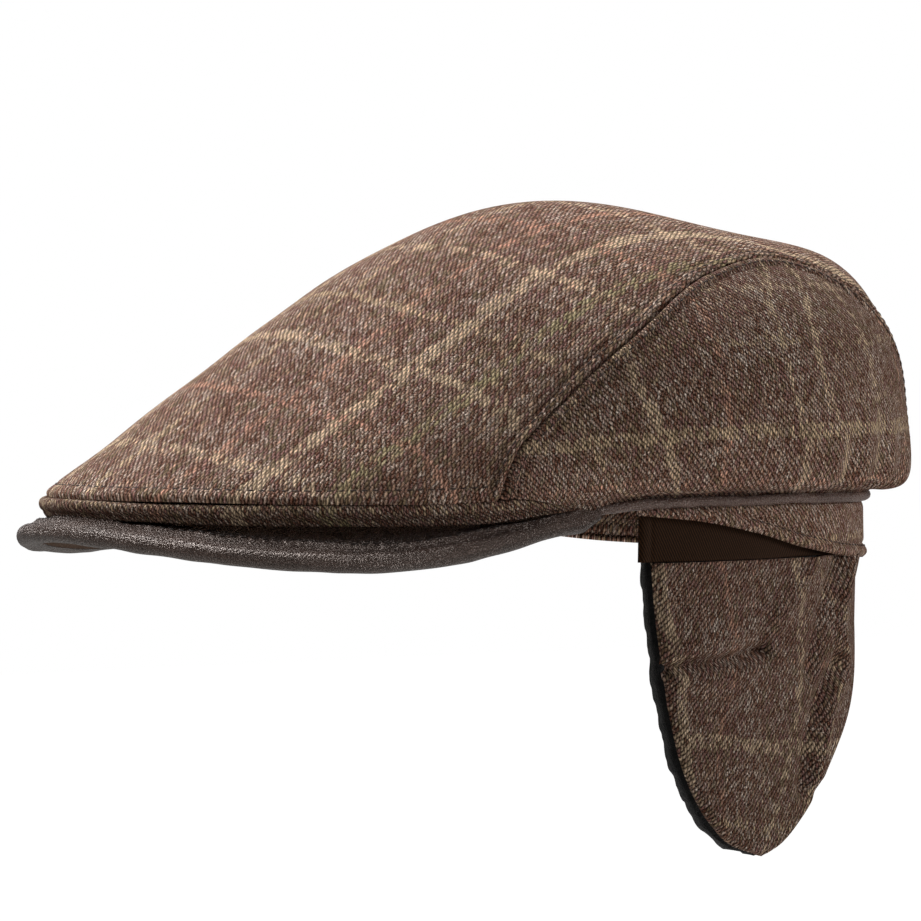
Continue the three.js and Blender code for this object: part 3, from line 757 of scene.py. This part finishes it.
def peakLeather():
    turn = peak["endAngle"] * np.linspace(-1, 1, 321)[:, None]
    edge = peakAt(turn)
    thin, binding = edge["roll"], edge["binding"]

    def at(inward, below):
        return polar(turn, edge["radius"] - inward, edge["top"](inward) - below)

    # round the section: out along the top, round the roll, and back under the binding and the board
    shares = 1 - spaced(46, 0.2) ** 0.85
    upper = at(thin + (edge["reach"] - thin) * shares[None, :], 0)
    rollTurn = np.radians(np.linspace(0, 180, 13))[None, 1:]
    middle = at(thin, 0)[..., 2] - thin
    rolled = polar(turn, edge["radius"] - thin + thin * np.sin(rollTurn), middle + thin * np.cos(rollTurn))
    under = at(thin + (binding - thin) * np.linspace(0, 1, 9)[None, 1:], 2 * thin)
    board = at(binding + (edge["reach"] - binding) * np.linspace(0, 1, 9)[None, :], 2 * thin - 0.5)
    base = np.concatenate([upper, rolled, under, board, upper[:, :1]], axis=1)
    section = runLength(base, 1)
    arc = pathLength(base[:, len(shares)])[:, None]
    normals = -gridNormals(base)
    crest = len(shares) + 5  # the column along the leading edge
    column = np.arange(base.shape[1])[None]
    topSide, shown = column <= crest, column <= crest + 13
    inward = np.abs(section - section[:, crest][:, None])
    size = thin / peak["rollRadius"]
    pucker = 0.5 + 0.5 * np.cos(2 * np.pi * arc / peak["stitchPitch"] + 0.8 * np.sin(arc / 9))
    taper = np.clip(edge["reach"] / 24, 0.3, 1)
    offset = 0
    for ridgeAt, rise, width, share, fade in peak["ridges"].values():
        drawn = 1 + share * pucker
        for fading in (smoothStep(*fade, turn), smoothStep(0, 16, -turn)):
            drawn = drawn * (1 - peak["ridgeFade"] * fading)
        offset = offset + rise * drawn * hump(inward, ridgeAt * taper, width * np.sqrt(taper)) * topSide
    offset += 0.25 * hump(inward, peak["ridges"]["outer"][0], 2) * ~topSide
    wave = np.sin(arc / 4.7 + 2 * np.sin(arc / 17)) * 0.12 + 0.08 * np.sin(arc / 2.1 + np.sin(arc / 6))
    offset += wave * hump(inward, 9, 6) + softness(base, 0.15, 31, 30, 12)
    offset = offset * size * np.where(shown, 1, 0)
    points = base + normals * offset[..., None]
    points[:, -1] = points[:, 0]  # the section closes at its inner edge
    # painted shade: the underside is painted darker through the weave map
    below = 12.9 + np.minimum(inward, 4) / 2  # the underside lies in the leather's shade
    places = paired(arc, np.where(topSide, inward, below))
    valley = peak["ridges"]["valley"][0] * taper[:, 0]
    bindingSeam = lineOnCloth(points[:, crest::-1], valley, peak["stitchEnd"], inward[:, crest::-1])
    return closedAtEnds(points), {"weave": np.concatenate([places[:1], places, places[-1:]])}, bindingSeam


def peakUnderside():  # the facing, from the binding inwards
    angles = peak["endAngle"] * np.linspace(-1, 1, 241)[12:-12, None]
    edge = peakAt(angles)
    width = edge["reach"] - edge["binding"]
    inward = edge["binding"] - 0.4 + width * np.linspace(0, 1, 36)[None, :] ** 1.3
    points = polar(angles, edge["radius"] - inward, edge["top"](inward) - 2 * edge["roll"] + 0.15)
    return points, {"weave": paired(points[..., 0], runLength(points, 1))}


# The strip under the front seam. Its hem is turned in onto the peak and stands out at the middle.
def frontBand():
    angles = frontStrip["endAngle"] * np.linspace(-1, 1, 321)
    edge = peakAt(angles[:, None])
    upper = stripLevel(angles)[:, None] * np.linspace(0, 1, 15)[None, :]
    upper = np.concatenate([upper, upper[:, -1:] + 0.03, upper[:, -1:] + 0.25], axis=1)
    face = crownPoint(angles[:, None], upper)
    fade = 1 - smoothStep(*frontStrip["hemOutFade"], np.abs(angles))[:, None]
    out = frontStrip["hemOut"] * fade * (1 - smoothStep(0, 1, upper))
    drop = 0.2 * out * (1 + smoothStep(*peak["rightSide"], -angles[:, None]))
    face = face + polar(angles[:, None], out, -drop)
    hem = face[:, 0]
    hemRadius = np.hypot(hem[:, 0], hem[:, 1])[:, None]
    share = np.linspace(1, 0, 8)[None, :-1]
    radius = hemRadius - frontStrip["turnedHem"] * share
    rest = np.maximum(edge["top"](edge["radius"] - radius) + 0.3, hem[:, 2][:, None] + 0.2)
    blend = (1 - share) ** 3
    turned = polar(angles[:, None], radius, rest + (hem[:, 2][:, None] - rest) * blend)
    base = np.concatenate([turned, face], axis=1)
    normals = -gridNormals(base)
    up = runLength(base, 1)
    fromSeam = up[:, -3:-2] - up
    fromHem = up - up[:, 7][:, None]
    offset = profile(np.maximum(fromSeam, 0), seam["frontHumps"]) + softness(base, 0.2, 41)
    offset -= frontStrip["hidden"] * smoothStep(0, 0.25, -fromSeam)
    offset = offset * smoothStep(-1, 1, fromHem)
    points = base + normals * offset[..., None]
    arc = pathLength(face[:, 7])[:, None]
    arc = arc - arc[len(angles) // 2]
    maps = {"check": paired(base[..., 0], fromHem - 9), "weave": paired(arc, fromHem)}
    return points.transpose(1, 0, 2), {name: places.transpose(1, 0, 2) for name, places in maps.items()}


piping = dict(
    halfWidth=79, halfLength=98.4, radius=1.45, start=61,
    line=[(61, 0.2), (66, 1.0), (78, 2.8), (110, 2.9), (139, 2.3), (180, 2.0)],  # plan angle and height
)


def pipingHeight(angle):
    return smoothColumn(*zip(*piping["line"]), np.minimum(angle, 360 - angle))


def pipingTube():
    angles = np.linspace(piping["start"], 360 - piping["start"], 401)[:, None]
    radius = oval(angles, piping["halfWidth"], piping["halfLength"])
    turn = np.radians(np.linspace(360, 0, 13))[None, :]
    arc = np.radians(angles) * 90  # mm, near enough
    uneven = 1 + 0.06 * np.sin(arc / 2.9 + 1.5 * np.sin(arc / 11)) + 0.04 * np.sin(arc / 1.3)
    thick = piping["radius"] * uneven
    sway = 0.15 * np.sin(arc / 13) + 0.1 * np.sin(arc / 5.3)
    height = pipingHeight(angles) + sway
    return closedAtEnds(polar(angles, radius + thick * np.cos(turn), height + thick * np.sin(turn)))


backBand = dict(
    halfWidth=78.6, halfLength=98.2, wall=1.6, start=74,
    edge=[(74, -0.6), (90, -3), (105, -7), (118, -11.2), (139, -15), (180, -17)],  # plan angle, hem's height
    hemHumps=[(1.8, 0.9, 1.7), (4.1, -0.6, 0.7)], hemTurn=[(0, -0.7, 0.6)], topTurn=[(0, -0.7, 1.2)],
    stitchAt=4.1, stitchEnd=45,
)


def backBandCloth():
    angles = np.linspace(backBand["start"], 360 - backBand["start"], 361)[:, None]
    foot = smoothColumn(*zip(*backBand["edge"]), np.minimum(angles, 360 - angles), False, True)
    top = pipingHeight(angles) - 1.5
    height = top + (foot - top) * np.linspace(0, 1, 25)[None, :]
    base = polar(angles, oval(angles, backBand["halfWidth"], backBand["halfLength"]), height)
    size = smoothStep(0, 8, top - foot)
    offset = profile(height - foot, backBand["hemHumps"]) * size + softness(base, 0.3, 51) * size
    offset = profile(height - foot, backBand["hemTurn"], offset)
    offset = profile(height - top, backBand["topTurn"], offset)
    maps = paired(pathLength(base[:, 0])[:, None], height)
    return base + gridNormals(base) * offset[..., None], {"check": maps, "weave": maps}


# Earflap: depth below the fold line, and plan angles of its front and rear edges.
flap = dict(
    outline=[(13.6, 77.4, 163), (26, 78.2, 161.5), (41, 79.8, 155.5), (56, 82, 146), (71, 85.3, 134),
             (81, 89, 126.4), (88.4, 93.6, 119.6), (94, 99, 113.2), (97.2, 106.6, 106.6)],
    halfWidth=76.2, halfLength=96, foldHeight=-0.4, tipAngle=106.6, wall=2.0, pile=4.5, gap=0.3,
    meanRadius=88,       # turns its plan angles to lengths
    edgeHumps=[(0, -1.5, 1.3), (3.2, 0.25, 2)], liningHumps=[(0, -0.8, 1.5)],
    liningMargins=(-0.9, 0.5, 4),  # at the front and rear; the lining goes on up behind the twill band
    uprights=[  # check lines down the flap: depth and plan angle
        [(14.5, 78.2), (24, 79.2), (32.6, 81), (41.6, 83.5), (62.6, 85.2), (97, 90)],
        [(22, 96), (33, 98.5), (43, 98.8), (53, 96.8), (62, 94.5), (70, 93.2), (97, 97)],
        [(23, 118.5), (33, 120), (44, 120.5), (58, 118.8), (74, 115.2), (87, 110.2), (97, 106)],
        [(15.7, 124.2), (24, 131), (31, 136.8), (38, 139.2), (60, 132), (97, 118)],
    ],
    folds=[  # line of plan angles and heights, then how far the cloth stands out and over what width
        ([(79, -43.6), (84.2, -42.8), (91.2, -42), (99.5, -41.1), (108.5, -39.6)], -3.0, 1.5),
        ([(84, -47.5), (95, -46.8), (106, -45)], 1.3, 3.0),
        ([(84, -38), (94, -36.5), (104, -33)], 1.1, 3.5),
        ([(137.5, -49), (131, -55.6), (126.5, -69.5), (124.5, -77.8)], 2.4, 3.2),
        ([(134, -45), (126.5, -54), (121.5, -68), (120, -79)], -2.2, 3.0),
        ([(143, -14), (137, -24), (134.5, -34), (137, -44)], 2.6, 3.2),
        ([(136, -14), (130, -24), (126, -36), (123, -46)], -2.6, 3.6),
        ([(124, -15), (118, -24), (112, -31)], 1.5, 4.0),
        ([(104, -33), (105, -37)], -1.8, 9.0),
        ([(126, -81), (127, -82)], -2.6, 3.0),
    ],
)
twill = dict(
    depth=13.3, front=73.9, rear=164, wall=1.2, meanRadius=84,
    hemHumps=[(1.8, 0.3, 1.8), (4.4, -0.35, 0.5)], hemTurn=[(0, -0.6, 0.6)],
)
# The folded flap: its inset from the crown, and the height over which it turns up from the fold.
folded = dict(levels=np.linspace(1.5, 5.6, 34), inset=12.2, turn=9, angles=np.arange(30, 212.1, 4),
              depths=np.arange(0, 108.1, 2))


def flapRim(angle):
    return oval(angle, flap["halfWidth"], flap["halfLength"])


def hangingPoint(angle, depth, inset):
    return polar(angle, flapRim(angle) - inset, flap["foldHeight"] - depth)


# Radius and height inside the crown, at each plan angle and depth of the folded flap.
def foldedTable():
    table, low = [], flap["foldHeight"]
    for angle in folded["angles"]:
        rim = flapRim(angle) - twill["wall"] - flap["gap"]
        rising, above = (crownPoint(angle, folded["levels"] + step) for step in (0, 0.05))
        out, further = (paired(np.hypot(p[:, 0], p[:, 1]), p[:, 2]) for p in (rising, above))
        on = unit(further - out)
        path = out + paired(-on[:, 1], on[:, 0]) * folded["inset"]
        path = np.concatenate([[(rim, low), (rim, low + folded["turn"])], path])
        for _ in range(3):
            path[1:-1] = path[1:-1] * 0.5 + (path[:-2] + path[2:]) * 0.25
        length = pathLength(path)
        table.append(paired(*(np.interp(folded["depths"], length, path[:, k]) for k in (0, 1))))
    return np.array(table)


foldedPlaces = foldedTable()


def foldedRead(angle, depth):
    angles, depths = folded["angles"], folded["depths"]
    a = np.clip((angle - angles[0]) / (angles[1] - angles[0]), 0, len(angles) - 1.001)
    d = np.clip(depth / depths[1], 0, len(depths) - 1.001)
    i, j = a.astype(int), d.astype(int)
    u, v = (a - i)[..., None], (d - j)[..., None]
    low = foldedPlaces[i, j] * (1 - v) + foldedPlaces[i, j + 1] * v
    high = foldedPlaces[i + 1, j] * (1 - v) + foldedPlaces[i + 1, j + 1] * v
    return low * (1 - u) + high * u


def foldedPoint(angle, depth, inset):
    angle, depth = np.broadcast_arrays(angle, depth)
    middle = foldedRead(0 * angle + flap["tipAngle"], depth)
    crowding = np.maximum(flapRim(flap["tipAngle"]) / middle[..., 0], 1)
    spread = flap["tipAngle"] + (angle - flap["tipAngle"]) * crowding
    here, ahead = foldedRead(spread, depth), foldedRead(spread, depth + 1.5)
    on = unit(ahead - here)
    return polar(-spread, here[..., 0] + on[..., 1] * inset, here[..., 1] - on[..., 0] * inset)


def flapGrid(rows, columns, margins, hangs):
    frontMargin, rearMargin, topMargin = margins
    depths, fronts, rears = np.array(flap["outline"]).T
    crowding = 1.46  # rows crowd towards the tip; a right angle would be the most
    share = np.sin(spaced(rows, 0.3) * crowding)[:, None] / math.sin(crowding)
    depth = depths[0] - topMargin + (depths[-1] - depths[0] + topMargin) * share
    within = smoothStep(0, 9, depths[-1] - depth)  # no margin at the tip
    front = smoothColumn(depths, fronts, depth, False, False) + frontMargin * within
    rear = smoothColumn(depths, rears, depth, False, False) - rearMargin * within
    across = spaced(columns, 0.6)[None, :]
    angle = rear + (front - rear) * across
    tip = share >= 0.9999
    angle, depth = np.where(tip, flap["tipAngle"], angle), depth + 0 * angle
    return (angle, depth) if hangs else (angle[:, ::-1], depth)  # folded in, its outer side faces the head


def flapMaps(angle, depth):
    arc = np.radians(angle - flap["tipAngle"]) * flap["meanRadius"]
    height = flap["foldHeight"] - depth
    knots = [np.interp(-height, *np.array(line).T) for line in flap["uprights"]]
    places = [0, 23, 45, 62]
    checkU = places[0] + (angle - knots[0]) * 1.45  # mm to a degree, in front of the first line
    for k in range(3):
        share = (angle - knots[k]) / (knots[k + 1] - knots[k])
        checkU = np.where(share > 0, places[k] + share * (places[k + 1] - places[k]), checkU)
    checkV = height - np.interp(angle, (83.8, 95.5, 106, 126.5, 150), (3.5, 1.4, -0.8, -2.6, -3))
    return {"check": paired(checkU, checkV), "weave": paired(arc, depth)}


def edgeDistance(points):
    sides, down = runLength(points, 1), runLength(points, 0)
    return np.minimum(np.minimum(sides, sides[:, -1:] - sides), down[-1:] - down)


def flapFolds(angle, depth):
    arc, height = np.radians(angle) * flap["meanRadius"], flap["foldHeight"] - depth
    total = 0 * angle
    for path, rise, width in flap["folds"]:
        away = nearPath(arc, height, [(math.radians(a) * flap["meanRadius"], z) for a, z in path])
        total += rise * hump(away, 0, width)
    return total


def flapTweed(placing, hangs):
    angle, depth = flapGrid(170, 150, (0, 0, 0), hangs)
    base = placing(angle, depth, 0)
    offset = profile(edgeDistance(base), flap["edgeHumps"], softness(base, 0.5, 61))
    if hangs:
        offset += flapFolds(angle, depth)
    return base + tipNormals(base) * offset[..., None], flapMaps(angle, depth)


def flapFleece(placing, hangs):
    angle, depth = flapGrid(150, 130, flap["liningMargins"], hangs)
    base = placing(angle, depth, flap["wall"] + flap["gap"])
    edge = edgeDistance(base)
    tufts = softness(base, 0.25, 71, 25, 8) + softness(base, 0.13, 72, 6, 3)
    offset = profile(edge, flap["liningHumps"], tufts)
    if hangs:
        offset += flapFolds(angle, depth) * smoothStep(0, 9, edge)
    return base + tipNormals(base) * offset[..., None], flapMaps(angle, depth)


def twillBand(placing, hangs):
    ends = ("front", "rear") if hangs else ("rear", "front")
    angle = np.linspace(twill[ends[0]], twill[ends[1]], 201)[:, None]
    depth = np.linspace(0, twill["depth"], 19)[None, :]
    base = placing(angle, depth, 0)
    arc = np.radians(angle - twill["front"]) * twill["meanRadius"]
    offset = profile(arc, twill["hemHumps"]) + softness(base, 0.2, 81, 40, 15)
    offset = profile(arc, twill["hemTurn"], offset)
    return base + gridNormals(base) * offset[..., None], {"weave": paired(arc, -depth)}


# Check lines: place, width, colour and strength. Places are in mm on the piece's check map.
beige, rust, tan, olive = (tweedYarn[name] for name in ("beige", "rust", "straw", "moss"))
checks = dict(
    centreAcross=[(6, 1.8, tan, 0.5), (31, 1.8, rust, 0.7), (49, 3.2, beige, 0.85), (64.5, 2.2, olive, 0.7),
                  (-19, 3.2, beige, 0.8), (-44, 1.8, rust, 0.7), (-62, 2.2, olive, 0.7)],
    # across the centre panel: y along its middle, then lengths past where it turns down at the back
    centreAlong=[(-138, 3.0, beige, 0.65), (-114.5, 1.8, rust, 0.7), (-92.5, 3.2, beige, 0.78),
                 (-74, 2.0, tan, 0.65), (-48, 2.8, beige, 0.6), (-29, 1.8, rust, 0.65),
                 (-4, 2.8, beige, 0.55)],
    sideAcross=[(98.4, 1.4, tan, 0.5), (120, 3.2, beige, 0.8), (141.6, 1.6, rust, 0.6),
                (167.2, 1.8, beige, 0.65), (183.2, 2.4, beige, 0.85), (208, 2.4, beige, 0.45),
                (232, 1.4, rust, 0.45)],
    sideLevels=[(1.0, 1.4, rust, 0.3), (1.86, 3.0, tan, 0.65), (2.9, 1.6, tan, 0.4), (3.6, 2.0, beige, 0.4)],
    flapAcross=[(0, 3.4, beige, 0.8), (22, 1.6, rust, 0.55), (44, 1.8, beige, 0.6), (60, 1.6, tan, 0.5)],
    flapAlong=[(-66, 3.2, beige, 0.65), (-88.5, 1.6, tan, 0.4), (-42, 1.4, rust, 0.25)],
    bandAcross=[(194.4, 2.0, beige, 0.65), (240, 1.4, rust, 0.45), (160, 1.4, rust, 0.35)],
    bandAlong=[(-9, 1.4, tan, 0.3)],
    stripAlong=[(-3, 1.6, tan, 0.3), (40, 1.6, tan, 0.1)],
    pastBack=[(20, 2.8, beige, 0.6), (45, 1.6, rust, 0.4), (68, 2.8, beige, 0.6)],
)

# Building the pieces.

centrePoints, centreMaps, placesAlong, lengthsAlong = centrePanel()
centreAlong = [(np.interp(at, placesAlong, lengthsAlong), *rest) for at, *rest in checks["centreAlong"]]
centreAlong += [(lengthsAlong[-1] + past, *rest) for past, *rest in checks["pastBack"]]
sideAlong = [(lengthUp(at), *rest) for at, *rest in checks["sideLevels"]]
# Each piece has its own copy of the tweed, painted lighter or darker: painted light and shade for how light
# falls on it, darkest on the flap in the crown's shadow.
centreTweed = tweed("woolTweedCentre", checks["centreAcross"], centreAlong, 0.86, tweedYarn["slopeRun"], 0.2)
sideTweed = tweed("woolTweedSide", checks["sideAcross"], sideAlong, 0.775, tweedYarn["run"])
flapTweedCloth = tweed("woolTweedFlap", checks["flapAcross"], checks["flapAlong"], 0.59, tweedYarn["run"])
bandTweed = tweed("woolTweedBand", checks["bandAcross"], checks["bandAlong"], 0.85, tweedYarn["run"])
stripTweed = tweed("woolTweedStrip", checks["centreAcross"], checks["stripAlong"], 0.64, tweedYarn["run"])
brownLeather = leather("brownNappaLeather", "#291c17", "#412f28")
# painted light: a lighter copy of the brown leather, so the piping under the crown's overhang looks more lit
paintedLightPipingLeather = leather("brownPipingLeather", "#4b3730", "#6a554d")
brownTwill = fineTwill("brownCottonTwill", "#362110", "#120804", 0.9)
facingCloth = fineTwill("brownFacingTwill", "#5a4638", "#2c211a", 0.8)
blackFleece = fleece("blackPileFleece", "#060606", "#1d1c1b")
clothThread = sewingThread("brownSewingThread", "#1f140f", "#4a362b")
leatherThread = sewingThread("darkBrownSewingThread", "#150e0b", "#33251f")
print("materials made")

clothPiece("centre_panel", (centrePoints, centreMaps), crown["wall"], centreTweed, "tweed",
           "crown_center_panel", flat=(0.19, 0.34), held="stretched",
           rests_on=["side_panel_left", "side_panel_right"], area=0.046)
leftSide = sidePanel()
for name, side in (("left", leftSide), ("right", mirrored(*leftSide))):
    clothPiece("side_panel_" + name, side, crown["wall"], sideTweed, "tweed", "crown_side_panel_" + name,
               flat=(0.20, 0.075), held="stretched", rests_on=["centre_panel"], area=0.011)

sideSeam = lineOnCloth(leftSide[0], seam["stitchAt"])
seamLines = {  # rows of topstitching beside the seams
    "left": sideSeam,
    "right": sideSeam * (-1, 1, 1),
    "centre_left": lineOnCloth(centrePoints[:, ::-1], seam["stitchAt"]),
    "centre_right": lineOnCloth(centrePoints, seam["stitchAt"]),
    "front": lineOnCloth(centrePoints.transpose(1, 0, 2), seam["frontStitchAt"]),
}
for name, path in seamLines.items():
    place(stitchRow("seam_stitches_" + name, path), clothThread, "tweed")

clothPiece("front_strip", frontBand(), frontStrip["wall"], stripTweed, "tweed", "front_band",
           flat=(0.29, 0.015), held="folded", rests_on=["centre_panel"])
print("crown made")

brimPoints, brimMaps, bindingSeam = peakLeather()
place(gridPiece("peak_leather_cover", brimPoints, brimMaps), brownLeather, "leather", "peak_leather")
clothPiece("peak_facing_cloth", peakUnderside(), peak["facingWall"], facingCloth, "peak_facing",
           "peak_underside", flat=(0.19, 0.075), held="stretched",
           rests_on=["peak_leather_cover"], area=0.009)
place(stitchRow("peak_stitches", bindingSeam), leatherThread, "leather")
place(gridPiece("leather_piping_tube", pipingTube()), paintedLightPipingLeather, "leather", "leather_piping")
print("peak and piping made")

bandGrid = backBandCloth()
clothPiece("back_band_cloth", bandGrid, backBand["wall"], bandTweed, "tweed", "back_band",
           flat=(0.31, 0.019), held="stretched", rests_on=["leather_piping_tube"], area=0.0043)
bandSeam = lineOnCloth(bandGrid[0][:, ::-1], backBand["stitchAt"], backBand["stitchEnd"])
place(stitchRow("back_band_stitches", bandSeam), clothThread, "tweed")
for name, placing in (("left", hangingPoint), ("right", foldedPoint)):
    hangs = name == "left"
    clothPiece("twill_band_cloth_" + name, twillBand(placing, hangs), twill["wall"], brownTwill,
               "brown_twill", "twill_band_" + name, flat=(0.138, 0.0135), held="stretched",
               rests_on=["back_band_cloth"])
    clothPiece("earflap_cloth_" + name, flapTweed(placing, hangs), flap["wall"], flapTweedCloth,
               "tweed", f"earflap_{name}_tweed", flat=(0.132, 0.086), held="hung",
               rests_on=["twill_band_cloth_" + name], area=0.0074)
    clothPiece("earflap_lining_" + name, flapFleece(placing, hangs), flap["pile"], blackFleece,
               "black_fleece", f"earflap_{name}_fleece", flat=(0.130, 0.086), held="hung",
               rests_on=["earflap_cloth_" + name], area=0.0074)
print("bands and earflaps made")


# Floor, world and lights.

studio = dict(
    floorDrop=1.6, floorSize=40, cloudsPerMetre=1.5,
    floorGlow=0.9,       # the floor as seen; it doesn't light the object
    worldSeen=1.0,       # white behind the object
    worldLight=0.18,
    boxes=[  # name, place, size, watts
        ("overheadSoftbox", (-1.45, -0.25, 2.2), 1.6, 117),
        ("rearSideSoftbox", (1.5, 2.6, 0.5), 1.0, 46),
        ("frontSideSoftbox", (-1.1, -2.6, 1.5), 1.2, 22),
        ("cameraSideFill", (2.4, -2.2, 1.3), 1.2, 7),
    ],
)


def addFloor():
    freshStart()
    bpy.ops.mesh.primitive_grid_add(
        x_subdivisions=8, y_subdivisions=8, size=studio["floorSize"], location=(0, 0, -studio["floorDrop"]))
    floor = bpy.context.object
    floor.name = "floor"
    bpy.ops.object.transform_apply()
    made, add, shader = newMaterial("palePaintedFloor")  # matt paint, slightly cloudy
    spot = add("TexCoord").node.outputs["Object"]
    cloud = add("TexNoise", {"Vector": spot, "Scale": studio["cloudsPerMetre"]})
    colour = add("ValToRGB", cloud, stops=[(0.3, "#ece9e6"), (0.7, "#f3f1ef")])
    glow = add("Math", add("LightPath"), studio["floorGlow"], operation="MULTIPLY")
    setInputs(shader, {
        "Base Color": colour, "Roughness": 0.8,
        "Emission Color": toLinear("#ffffff"), "Emission Strength": glow})
    floor.data.materials.append(made)


def addWorld():
    world = bpy.data.worlds.new("studioWorld")
    world.use_nodes = True
    tree = world.node_tree
    seen = addNode(tree, "LightPath")
    strength = addNode(tree, "Mix", {0: seen, 2: studio["worldLight"], 3: studio["worldSeen"]})
    setInputs(tree.nodes["Background"], {"Color": toLinear("#ffffff"), "Strength": strength})
    bpy.context.scene.world = world


def addLights():
    for name, spot, size, watts in studio["boxes"]:
        turn = (-Vector(spot)).to_track_quat("-Z", "Y").to_euler()
        bpy.ops.object.light_add(type="AREA", location=spot, rotation=turn)
        lamp = bpy.context.object
        lamp.name = lamp.data.name = name
        lamp.data.shape = "SQUARE"
        lamp.data.size = size
        lamp.data.energy = watts


freshStart()
addFloor()
addWorld()
addLights()
print("studio set")
